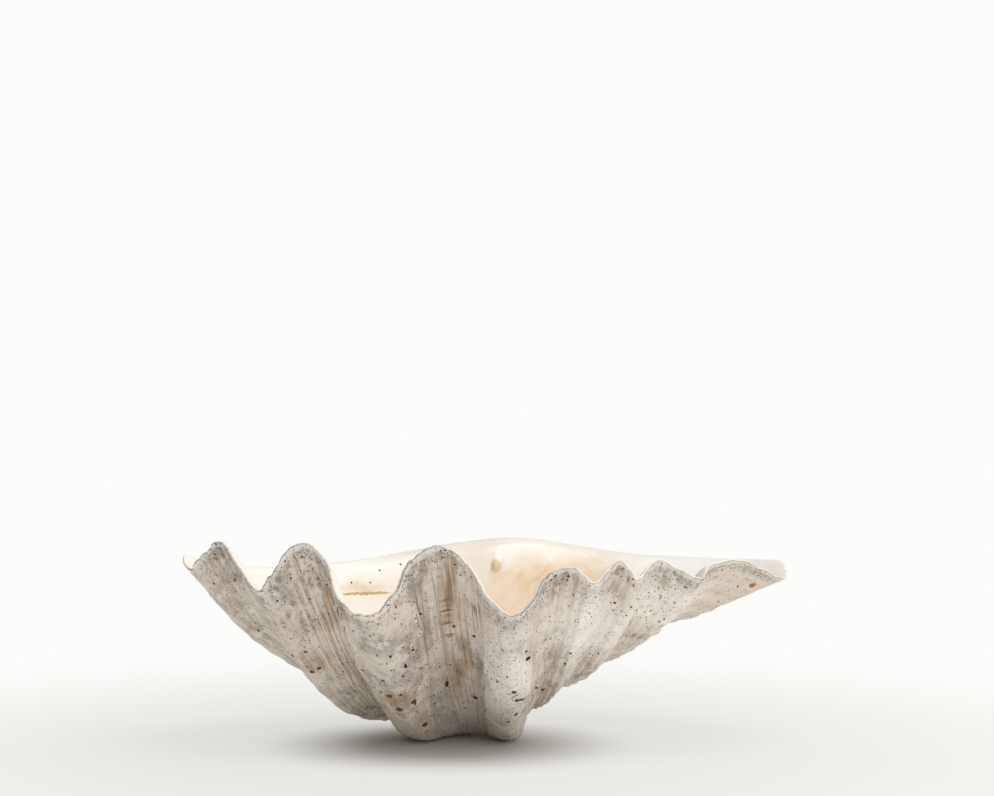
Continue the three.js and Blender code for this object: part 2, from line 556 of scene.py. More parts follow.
@dataclass(frozen=True)
class GrowthStops:
    """Edges where growth paused: each older layer ends in a slightly flared edge over the newer one."""

    ages: tuple[float, ...] = (
        0.0, 0.16, 0.27, 0.37, 0.45, 0.52, 0.595, 0.66, 0.722, 0.77, 0.84, 0.905, 0.96, 1.06,
    )
    height: float = 1.3
    softness: float = 0.13
    flare: float = 1.7
    wobble: float = 0.014
    wobble_size: float = 30.0
    patch_size: float = 45.0
    strength: Table = (
        (0, 0.6), (7, 0.8), (12, 0.9), (15, 0.9), (16, 0.28), (23, 0.28), (24.5, 1.1), (31, 1.15),
        (34, 0.8), (39, 0.6),
    )

    def relief(self, t: Array, age: Array, ring: Array) -> Array:
        """Works out the layers' height.

        Args:
            t: rim places.
            age: ages.
            ring: growth coordinates, which have no seam.

        Returns:
            Heights from 0 up.
        """
        edges = np.array(self.ages)
        shift = self.wobble * rough(ring * (1, 1, 0.2), self.wobble_size, 3, 2)
        shifted = np.clip(age + shift, 0.0, 1.05)
        k = np.searchsorted(edges, shifted, side="right") - 1
        share = (shifted - edges[k]) / (edges[k + 1] - edges[k])
        rise = np.clip(share / (1 - self.softness), 0, 1) ** self.flare
        drop = 1 - ease((share - 1 + self.softness) / self.softness)
        patchy = np.clip(0.55 + 0.8 * rough(ring, self.patch_size, 2, 3), 0.05, 1.3)
        return self.height * read_off(self.strength, t) * patchy * rise * drop


@dataclass(frozen=True)
class Channel:
    """The sunken, flat-floored channel between the two broadest ribs."""

    left: Table = (
        (0.0, 16.8), (0.52, 16.95), (0.60, 17.1), (0.69, 17.3), (0.73, 17.5), (0.79, 17.9), (0.845, 18.0),
        (0.91, 18.15), (0.965, 18.25), (1.0, 18.3),
    )
    right: Table = (
        (0.0, 20.1), (0.52, 20.25), (0.60, 20.35), (0.73, 20.45), (0.79, 20.5), (0.885, 20.6), (0.94, 20.55),
        (1.0, 20.4),
    )
    depth: Table = (
        (0.0, 0.0), (0.3, 0.0), (0.4, -4.5), (0.5, -5.0), (0.58, 0.0), (0.66, 3.6), (0.82, 4.2),
        (0.93, 2.2), (1.0, 0.7),
    )
    side: float = 0.16
    rim_fade: float = 0.1

    def share(self, t: Array, age: Array) -> Array:
        """Finds the channel's floor.

        Args:
            t: rim places.
            age: the age at each.

        Returns:
            1 on the floor and 0 outside it.
        """
        into_left = ease((t - read_off(self.left, age)) / self.side + 0.5)
        into_right = ease((read_off(self.right, age) - t) / self.side + 0.5)
        return into_left * into_right

    def edge(self, t: Array, age: Array) -> Array:
        """Returns 1 on the channel's two steep sides and 0 elsewhere, fading towards the rim: where shade is
        painted on them.
        """
        share = self.share(t, age)
        return 4 * share * (1 - share) * ease((1 - age) / self.rim_fade)

    def relief(self, t: Array, age: Array) -> Array:
        """Returns the channel's height, below 0 but for its filled underside."""
        return -read_off(self.depth, age) * self.share(t, age)


@dataclass(frozen=True)
class Wear:
    """Uneven wear of the whole surface and of the rim's edge."""

    broad: float = 0.55
    broad_size: float = 26.0
    knocks: float = 0.3
    knocks_size: float = 10.0
    fine: float = 0.14
    fine_size: float = 4.5
    rim: float = 0.012
    chip_size: float = 8.0

    def relief(self, points: Array) -> Array:
        """Returns the wear's height at points of the surface."""
        return (
            self.broad * rough(points, self.broad_size, 1, 4)
            + self.knocks * rough(points, self.knocks_size, 1, 7)
            + self.fine * rough(points, self.fine_size, 2, 5)
        )

    def rim_age(self, ring_at_rim: Array) -> Array:
        """Returns how far short of full age the rim has broken back, round the rim."""
        chips = 0.4 + 0.6 * rough(ring_at_rim, self.chip_size, 3, 6)
        return 1 - self.rim * np.clip(chips, 0, 1)


@dataclass(frozen=True)
class HingePlate:
    """The thick plate inside the hinge margin."""

    left: float = -16.0
    right: float = 52.0
    front: float = 52.0
    back: float = 82.0
    low: float = 84.0
    thick: float = 2.4
    side_slope: float = 18.0
    front_slope: float = 5.0
    back_slope: float = 9.0
    low_slope: float = 2.0

    def relief(self, points: Array) -> Array:
        """Works out the plate's height.

        Args:
            points: points of the inside.

        Returns:
            Heights from 0 up.
        """
        x, y, z = np.moveaxis(points, -1, 0)
        across = ease((x - self.left) / self.side_slope) * ease((self.right - x) / self.side_slope)
        along = ease((y - self.front) / self.front_slope) * ease((self.back - y) / self.back_slope)
        return self.thick * across * along * ease((z - self.low) / self.low_slope)


class PitTone(Enum):
    """What a pit or crack shows, as an sRGB colour."""

    BLACK = "241e19"
    BROWN = "5f4a37"
    RUST = "b0763a"
    TAN = "c4a676"
    CREAM = "e6d2a8"


@dataclass(frozen=True)
class Pit:
    """A hole, a crack or, raised, the hinge's blunt tooth: an ellipsoid that takes its y from the surface."""

    x: float
    z: float
    radius: float
    tone: PitTone = PitTone.BLACK
    tall: float = 1.0
    inside: bool = False
    raised: bool = False
    y: float = 0.0

    def size(self) -> Place:
        """Returns the half sizes along x, y and z."""
        return (self.radius, self.radius * max(1.0, self.tall), self.radius * self.tall)


PITS: tuple[Pit, ...] = (
    Pit(-41, 48, 1.4),
    Pit(-47, 46, 0.9),
    Pit(-37, 57, 0.9),
    Pit(-49, 54, 0.8),
    Pit(-56, 45, 0.8),
    Pit(-53, 40, 1.0, PitTone.BROWN),
    Pit(-44, 32, 1.2, PitTone.BROWN),
    Pit(-50, 31, 1.7, PitTone.BROWN, 0.7),
    Pit(-54, 33, 1.1, PitTone.BROWN),
    Pit(-37, 27, 1.9, PitTone.BROWN, 0.8),
    Pit(-45, 23, 2.2, PitTone.BROWN, 0.7),
    Pit(-32, 12, 2.1, PitTone.BROWN, 0.8),
    Pit(-27, 24, 0.9),
    Pit(-20, 35, 1.3, PitTone.BLACK, 2.0),
    Pit(-5, 26, 1.5, PitTone.BLACK, 1.4),
    Pit(17, 20, 1.4),
    Pit(13, 15, 1.1),
    Pit(23, 53, 1.5),
    Pit(16, 34, 1.8, PitTone.BROWN, 0.7),
    Pit(19, 29, 3.8, PitTone.BROWN, 0.2),
    Pit(32, 31, 1.1, PitTone.BROWN),
    Pit(36, 34, 0.9),
    Pit(46, 54, 0.9),
    Pit(43, 48, 0.8),
    Pit(-103, 50, 1.1),
    Pit(-96, 53, 1.2, PitTone.BROWN, 0.7),
    Pit(-93, 41, 1.6, PitTone.BROWN, 0.7),
    Pit(-89, 43, 1.3, PitTone.BROWN),
    Pit(146, 87, 1.9, PitTone.RUST, 1.3),
    Pit(-62, 88, 0.8, PitTone.BLACK, 1.0, True),
    Pit(-78, 81, 0.8, PitTone.BLACK, 1.0, True),
    Pit(-67, 81, 0.7, PitTone.BROWN, 1.0, True),
    Pit(-50, 91, 0.8, PitTone.BLACK, 1.0, True),
    Pit(-70, 75, 16.0, PitTone.TAN, 0.055, True),
    Pit(6.5, 90, 3.3, PitTone.CREAM, 1.3, True, True),
)


class StainKind(Enum):
    """What a soft patch of colour comes from, or the light or shade that it paints. The value is the
    attribute that carries its strength.
    """

    GREY_AND_SHADE = "grey_growth_and_shade"
    TAN = "tan_silt"
    PINK = "pink_shell"
    GREEN = "old_algae"
    CREAM = "cream_lining"
    HINGE = "hinge_stain_and_crease_shade"
    SILT_AND_SHADE = "brown_silt_and_shade"
    PEACH = "peach_shell"
    PAINTED_LIGHT = "painted_light"
    RINGS = "dark_rings"
    HAIRS = "dark_hairs"


@dataclass(frozen=True)
class Stain:
    """A soft patch of colour, an ellipsoid in space with ragged edges."""

    RAGGED_FROM: ClassVar[float] = 18.0
    EVEN: ClassVar[float] = 0.1
    centre: Place
    size: Place
    strength: float

    def share(self, points: Array, torn: Array) -> Array:
        """Works out how strong the patch is.

        Args:
            points: points of the surface.
            torn: the same, shifted at random, which makes a large patch's edge ragged.

        Returns:
            A share for each point.
        """
        spot = mix(points, torn, min(1.0, min(self.size) / self.RAGGED_FROM))
        away = (spot - np.array(self.centre)) / np.array(self.size)
        return self.strength * (1 - ease(np.linalg.norm(away, axis=-1) - self.EVEN))


STAINS: dict[StainKind, tuple[Stain, ...]] = {
    StainKind.GREY_AND_SHADE: (
        Stain((-50, -84, 60), (24, 40, 11), 0.6),
        Stain((14, -88, 58), (17, 40, 9), 0.6),
        Stain((-109, -70, 88), (15, 30, 20), 0.75),
        Stain((-34, -92, 95), (11, 30, 22), 0.8),
        Stain((-142, -45, 92), (17, 30, 18), 0.7),
        Stain((36, -95, 90), (10, 30, 15), 0.5),
        Stain((97, -80, 95), (17, 30, 9), 0.6),
        Stain((-60, -60, 40), (12, 30, 9), 0.4),
        # Painted shade: this broad patch darkens rib A, which lies further than rib B from the light on the
        # right.
        Stain((-42, -70, 52), (26, 50, 40), 0.6),
    ),
    StainKind.TAN: (
        Stain((-19, -88, 86), (8, 30, 34), 1.0),
        Stain((-14, -60, 40), (14, 40, 34), 0.75),
        Stain((-81, -75, 77), (9, 30, 28), 0.9),
        Stain((-123, -55, 67), (16, 30, 11), 0.7),
        Stain((-92, -45, 47), (19, 40, 11), 0.8),
        Stain((-46, -60, 29), (15, 30, 9), 0.8),
        Stain((-32, -42, 14), (13, 30, 8), 0.6),
        Stain((16, -68, 31), (11, 30, 8), 0.7),
        Stain((48, -93, 84), (8, 30, 13), 0.8),
        Stain((68, -88, 82), (10, 30, 17), 0.8),
        Stain((112, -60, 78), (22, 30, 7), 0.5),
    ),
    StainKind.PINK: (
        Stain((125, -45, 78), (48, 50, 24), 1.0),
        Stain((85, -70, 70), (30, 50, 22), 0.6),
        Stain((-95, -50, 60), (40, 50, 20), 0.5),
    ),
    StainKind.GREEN: (
        Stain((-62, -40, 25), (34, 50, 24), 0.7),
        Stain((-120, -20, 60), (40, 60, 30), 0.5),
    ),
    StainKind.CREAM: (
        Stain((45, 80, 80), (60, 45, 22), 1.0),
        Stain((10, 50, 60), (70, 60, 34), 0.7),
    ),
    StainKind.HINGE: (
        # Painted shade: this thin band darkens the crease under the hinge plate's edge. The other two are
        # hinge stains.
        Stain((22, 72, 84.5), (34, 14, 2.4), 0.4),
        Stain((-74, 60, 78), (24, 30, 6), 0.5),
        Stain((40, 75, 72), (34, 30, 14), 0.4),
    ),
    StainKind.SILT_AND_SHADE: (
        Stain((-12, -80, 57), (9, 30, 13), 1.0),
        Stain((-29, -84, 62), (4, 30, 16), 0.75),
        Stain((-13, -60, 37), (6, 30, 22), 0.7),
        Stain((-18, -90, 86), (4, 30, 16), 0.8),
        Stain((-2, -60, 44), (3, 30, 18), 0.5),
        # Painted shade: this patch darkens the worn feet next to the floor.
        Stain((-35, -30, 6), (26, 40, 9), 0.4),
    ),
    StainKind.PEACH: (
        Stain((-18, -85, 74), (17, 30, 17), 1.0),
        Stain((-81, -80, 80), (7, 30, 26), 0.7),
    ),
    # Painted light: these patches lighten rib B, the right-hand folds and the lining at the back right, as
    # light falling from the right would.
    StainKind.PAINTED_LIGHT: (
        Stain((12, -75, 44), (18, 50, 34), 0.85),
        Stain((56, -75, 68), (36, 50, 30), 1.0),
        Stain((100, -65, 76), (44, 50, 24), 0.9),
        Stain((130, 50, 90), (66, 60, 34), 1.0),
    ),
    StainKind.RINGS: (
        Stain((-20, -82, 79), (6.5, 30, 8), 1.0),
        Stain((-19, -77, 67), (6.5, 30, 7), 0.9),
        Stain((18, -66, 31), (8, 30, 5), 0.6),
    ),
    StainKind.HAIRS: (
        Stain((-3.4, -84, 74), (3.5, 30, 13), 1.0),
        Stain((-34, -84, 76), (5, 30, 18), 0.6),
        Stain((-75, -75, 72), (7, 30, 26), 0.8),
        Stain((-115, -60, 95), (9, 30, 22), 0.7),
    ),
}


# The valve's mesh


@dataclass
class Valve:
    """The whole shell as one closed mesh, dressed in one shell finish."""

    name: str = "giant_clam_valve"
    columns: int = 736
    inner_rows: int = 34
    lip_rows: int = 4
    outer_rows: int = 89
    inner_spacing: tuple[float, float] = (0.72, 0.28)
    outer_spacing: tuple[float, float] = (0.66, 0.34)
    outer_crowding: float = 2.4
    coarse: int = 4
    density: Table = (
        (0, 0.36), (5, 0.4), (7, 0.85), (12, 1.0), (15, 1.1), (17, 0.85), (23, 0.85), (24, 1.15), (31, 1.1),
        (33.5, 0.7), (34.5, 0.36), (39, 0.36),
    )
    ring_height: float = 250.0
    lip_bulge: float = 0.35
    ragged: float = 6.0
    ragged_size: float = 14.0
    furrow_kept_in_painted_light: float = 0.42
    on_outside: float = 0.05
    on_inside: float = 0.95
    plain_margin: Table = ((0, 1), (5.5, 1), (6.5, 0), (33, 0), (34, 1), (39, 1))
    pit_cuts: int = 2
    drilled_from: float = 0.8
    drilled_tall: tuple[float, float] = (0.5, 3.0)
    drill_reach: float = 1.5
    drill_margin: float = 1.2
    raised_reach: float = 2.4
    pit_depth: float = 0.7
    pit_floor: float = 0.3
    pit_side: float = 0.8
    form: ValveForm = field(default_factory=ValveForm)
    riblets: Riblets = Riblets()
    stops: GrowthStops = GrowthStops()
    channel: Channel = Channel()
    plate: HingePlate = HingePlate()
    wear: Wear = Wear()

    def rim_places(self) -> dict[str, Array]:
        """Spreads the columns over the rim, closer where the detail is finer.

        Returns:
            The rim place of each column, the length of rim and the number of riblets up to it, and the
            rim's whole length.
        """
        fine = np.linspace(0, COUNT, COUNT * 60 + 1)
        step = np.linalg.norm(np.diff(self.form.folded(fine), axis=0), axis=1)
        sums = {
            "rim_mm": step,
            "turns": step / read_off(self.riblets.pitch, fine[:-1]),
            "weight": step * read_off(self.density, fine[:-1]),
        }
        sums = {key: np.concatenate([[0.0], np.cumsum(value)]) for key, value in sums.items()}
        wanted = np.arange(self.columns) / self.columns * sums["weight"][-1]
        t = np.interp(wanted, sums["weight"], fine)
        kept = {key: np.interp(t, fine, sums[key]) for key in ("rim_mm", "turns")}
        return {"t": t, **kept, "whole": sums["rim_mm"][-1]}

    def ring(self, rim_mm: Array, age: Array, whole: float) -> Array:
        """Works out growth coordinates: round a circle as long as the rim, and up it with age.

        Args:
            rim_mm: how far round the rim each place is.
            age: the age at each.
            whole: the rim's whole length.

        Returns:
            The coordinates, in millimetres at full age.
        """
        turn = 2 * math.pi * (rim_mm / whole - 0.5)
        radius = whole / (2 * math.pi)
        return np.stack([radius * np.cos(turn), radius * np.sin(turn), self.ring_height * age], axis=-1)

    def grid(self) -> dict[str, Array]:
        """Works out every row of the mesh, from the bottom of the hollow over the lip to the umbo.

        Returns:
            Arrays of rows by columns: points, ring, relief, furrow and inside.
        """
        rim = self.rim_places()
        t, rim_mm, whole = rim["t"], rim["rim_mm"], rim["whole"]
        rim_age = self.wear.rim_age(self.ring(rim_mm, np.ones_like(t), whole))
        form = self.form

        depth = np.linspace(1, 0, self.inner_rows + 1)[:, None]
        even, crowded = self.inner_spacing
        deep = even * depth + crowded * depth**2
        t_in, deep = np.broadcast_arrays(t, deep)
        inner = form.deep_inside(t_in, deep, mix(rim_age, 1.0, ease(deep / 0.25)))

        step = np.linspace(0, 1, self.outer_rows + 1)[:, None]
        even, crowded = self.outer_spacing
        t_out, age = np.broadcast_arrays(t, 1 - (even * step + crowded * step**self.outer_crowding))
        age = age * mix(1.0, rim_age, ease((age - 0.75) / 0.25))
        outer = form.outside(t_out, age)

        onward = outer[0] - form.outside(t, rim_age - 0.02)
        onward /= np.linalg.norm(onward, axis=-1, keepdims=True)
        bend = np.linspace(0, math.pi, self.lip_rows + 2)[1:-1, None, None]
        middle, half = (outer[0] + inner[-1]) / 2, (outer[0] - inner[-1]) / 2
        bulge = self.lip_bulge * form.worn_lip * form.rim_wall(t)[:, None]
        lip = middle - half * np.cos(bend) + onward * (bulge * np.sin(bend))

        points = np.concatenate([inner, lip, outer])
        lip_ages = np.ones((self.lip_rows, len(t)))
        ages = np.concatenate([mix(1.0, form.cavity_age, deep), lip_ages, age])
        places = np.broadcast_to(t, ages.shape)
        ring = self.ring(np.broadcast_to(rim_mm, ages.shape), ages, whole)
        lip_share = np.broadcast_to(np.linspace(0.9, 0.1, self.lip_rows)[:, None], lip.shape[:2])
        lip_share = mix(lip_share, 1.0, read_off(self.plain_margin, t))
        inside = np.concatenate([np.ones(inner.shape[:2]), lip_share, np.zeros(outer.shape[:2])])

        relief = np.zeros(ages.shape)
        first = self.inner_rows + 1 + self.lip_rows
        detail = (
            self.riblets.relief(t_out, age, np.broadcast_to(rim["turns"], age.shape), ring[first:])
            + self.stops.relief(t_out, age, ring[first:])
            + self.wear.relief(outer)
        )
        detail *= ease((1 - age) / 0.03 + 0.15) * ease(age / 0.06)
        relief[first:] = detail
        near_lip = ease((1 - mix(1.0, form.cavity_age, deep)) / 0.03)
        carved = relief.copy()
        carved[first:] += self.channel.relief(t_out, age) * ease((1 - age) / 0.02)
        carved[: self.inner_rows + 1] = self.plate.relief(inner) * near_lip
        high = {RimKind.TONGUE: 1.0, RimKind.FLANK: 0.5}
        furrow = along_rim([high.get(point.kind, 0.0) for point in RIM], places)
        # Painted light: the furrows' darker washes and specks are weaker on the right-hand folds, which light
        # from the right makes paler.
        furrow = furrow * mix(1.0, self.furrow_kept_in_painted_light, ease((places - 24) / 3))
        return {
            "points": points,
            "ring": ring,
            "carved": carved,
            "relief": relief,
            "furrow": furrow,
            "inside": inside,
            # The channel's steep sides on the outside, which carry painted shade.
            "channel": np.where(inside < self.on_outside, self.channel.edge(places, ages), 0.0),
        }

    def normals(self, points: Array) -> Array:
        """Works out which way a grid of points faces.

        Args:
            points: rows by columns of points.

        Returns:
            The outward normals.
        """
        round_rim = np.roll(points, -1, axis=1) - np.roll(points, 1, axis=1)
        down_rows = np.gradient(points, axis=0)
        normal = np.cross(down_rows, round_rim)
        size = np.linalg.norm(normal, axis=-1, keepdims=True)
        return normal / np.maximum(size, 1e-9)

    def seat(self, pits: Sequence[Pit], points: Array, inside: Array, normal: Array) -> list[Pit]:
        """Moves each pit onto the surface.

        Args:
            pits: the pits, whose y isn't known yet.
            points: the surface's points, in millimetres.
            inside: 1 on the inside, 0 on the outside.
            normal: the outward normals.

        Returns:
            The pits with their y.
        """
        seated = []
        for pit in pits:
            in_back = (inside > self.on_inside) & (points[..., 1] > 0)
            side = in_back if pit.inside else inside < self.on_outside
            gap = np.hypot(points[..., 0] - pit.x, points[..., 2] - pit.z)
            gap = np.where(side & (normal[..., 1] < 0), gap, 1e9)
            nearest = np.unravel_index(np.argmin(gap), gap.shape)
            seated.append(replace(pit, y=float(points[nearest][1])))
        return seated

    def drill(self, globe: bmesh.types.BMesh, pits: Sequence[Pit]) -> None:
        """Makes the mesh finer round each larger pit, and pushes its floor in, or a raised one out.

        Args:
            globe: the shell's mesh, in metres.
            pits: the pits, on the surface.
        """
        least, most = self.drilled_tall
        round_pits = [pit for pit in pits if pit.radius >= self.drilled_from and least <= pit.tall <= most]
        spots = [np.array((pit.x, pit.y, pit.z)) * MM for pit in round_pits]
        places = np.array([vertex.co for vertex in globe.verts])
        # Cutting the globe leaves old indices on its vertices and edges, and both are read below.
        globe.verts.index_update()
        globe.edges.index_update()
        globe.verts.ensure_lookup_table()
        near = set()
        for pit, spot in zip(round_pits, spots):
            gap = np.linalg.norm(places - spot, axis=1)
            reach = self.drill_reach * pit.radius + self.drill_margin
            if pit.raised:
                reach = self.raised_reach * pit.radius
            near.update(np.nonzero(gap < reach * MM)[0].tolist())
        edges = {
            edge
            for index in near
            for edge in globe.verts[index].link_edges
            if all(end.index in near for end in edge.verts)
        }
        ordered = sorted(edges, key=lambda edge: edge.index)
        bmesh.ops.subdivide_edges(globe, edges=ordered, cuts=self.pit_cuts, use_grid_fill=True)
        many_sided = [face for face in globe.faces if len(face.verts) > 4]
        bmesh.ops.triangulate(globe, faces=many_sided)
        globe.normal_update()
        places = np.array([vertex.co for vertex in globe.verts])
        push = np.zeros(len(places))
        for pit, spot in zip(round_pits, spots):
            gap = np.linalg.norm((places - spot) / (np.array(pit.size()) * MM), axis=1)
            depth = self.pit_depth * pit.radius * MM * (1 - ease((gap - self.pit_floor) / self.pit_side))
            push = np.maximum(push, depth) if pit.raised else np.minimum(push, -depth)
        globe.verts.ensure_lookup_table()
        for index in np.nonzero(push)[0].tolist():
            vertex = globe.verts[index]
            vertex.co += vertex.normal * float(push[index])

    def build(self) -> tuple[bpy.types.Object, list[Pit]]:
        """Makes the mesh from a globe whose top half is pushed in to line the bottom half.

        Returns:
            The shell, at the origin, in metres, and the pits where they lie on it.
        """
        grid = self.grid()
        points = grid["points"]
        normal = self.normals(points)
        low, high = (np.array(corner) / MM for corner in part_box("valve"))
        flat = points.reshape(-1, 3)
        shift = (low + high) / 2 - (flat.min(axis=0) + flat.max(axis=0)) / 2
        shift[2] = 0.0
        placed = np.clip(points + normal * grid["carved"][..., None] + shift, low, high)
        pits = self.seat(PITS, placed, grid["inside"], normal)
        tears = [rough(placed, self.ragged_size, 2, seed) for seed in (21, 22, 23)]
        torn = placed + self.ragged * np.stack(tears, axis=-1)
        masks = {key: grid[key] for key in ("furrow", "inside", "relief", "channel")}
        for kind in StainKind:
            shares = [stain.share(placed, torn) for stain in STAINS[kind]]
            masks[kind.value] = np.max(shares, axis=0)

        rows = len(points) - 1
        globe = bmesh.new()
        bmesh.ops.create_uvsphere(
            globe, u_segments=self.columns // self.coarse, v_segments=rows // self.coarse, radius=1.0
        )
        bmesh.ops.subdivide_edges(globe, edges=globe.edges, cuts=self.coarse - 1, use_grid_fill=True)
        ring_layer = globe.verts.layers.float_vector.new("growth_ring")
        layers = {key: globe.verts.layers.float.new(key) for key in masks}
        for vertex in globe.verts:
            x, y, z = vertex.co.normalized()
            row = round(math.acos(max(-1.0, min(1.0, z))) / math.pi * rows)
            column = round(math.atan2(y, x) / (2 * math.pi) * self.columns) % self.columns
            vertex.co = placed[row, column] * MM
            vertex[ring_layer] = grid["ring"][row, column]
            for key, layer in layers.items():
                vertex[layer] = masks[key][row, column]
        if globe.calc_volume(signed=True) < 0:
            bmesh.ops.reverse_faces(globe, faces=globe.faces)
        self.drill(globe, pits)
        for face in globe.faces:
            face.smooth = True
        return add_mesh(self.name, globe), pits


# Materials


Source = bpy.types.NodeSocket | bpy.types.Node


def add_node(
    tree: bpy.types.NodeTree, kind: str, inputs: dict[str | int, object] | None = None, **settings: object
) -> bpy.types.Node:
    """Adds a node with its settings and links.

    Args:
        tree: the node tree.
        kind: the node's type, without its first word.
        inputs: for each input, by name or number, a value, an output, or a node for its first output.
        settings: the node's own options.

    Returns:
        The node.
    """
    node = tree.nodes.new("ShaderNode" + kind)
    for name, value in settings.items():
        setattr(node, name, value)
    for key, value in (inputs or {}).items():
        if isinstance(value, bpy.types.Node):
            value = value.outputs[0]
        if isinstance(value, bpy.types.NodeSocket):
            tree.links.new(value, node.inputs[key])
        else:
            node.inputs[key].default_value = value
    return node


@dataclass(frozen=True)
class Cloud:
    """A soft random pattern. Its stretch is along the growth coordinates, or None in plain space."""

    size: float
    stretch: Place | None = None
    detail: float = 3.0


# Sizes are those of the marks on the shell, but grain is drawn coarser than real chalk's, so that it shows.
CLOUDS: dict[str, Cloud] = {
    "broad": Cloud(30 * MM),
    "mottle": Cloud(6.5 * MM, None, 4.0),
    "crumb": Cloud(2.2 * MM, None, 3.0),
    "grain": Cloud(0.9 * MM, None, 2.0),
    "streaks": Cloud(3.4, (1.0, 1.0, 0.06)),
    "threads": Cloud(1.1, (1.0, 1.0, 0.05), 2.0),
    "bands": Cloud(2.2, (0.05, 0.05, 1.0)),
    "rings": Cloud(1.6, (0.04, 0.04, 1.0), 2.0),
}


@dataclass(frozen=True)
class Wash:
    """A thin layer of colour, laid where one pattern is strong and a second doesn't break it.

    Each pattern goes from none to full between its two values.
    """

    colour: str
    strength: float
    pattern: str
    none: float
    full: float
    breaks: str = "mottle"
    breaks_none: float = 0.0
    breaks_full: float = 0.01


@dataclass(frozen=True)
class Specks:
    """Pinholes in a random pattern of cells, and the share of cells that have one."""

    cell: float
    radius: float
    share: float
    rim_share: float
    depth: float


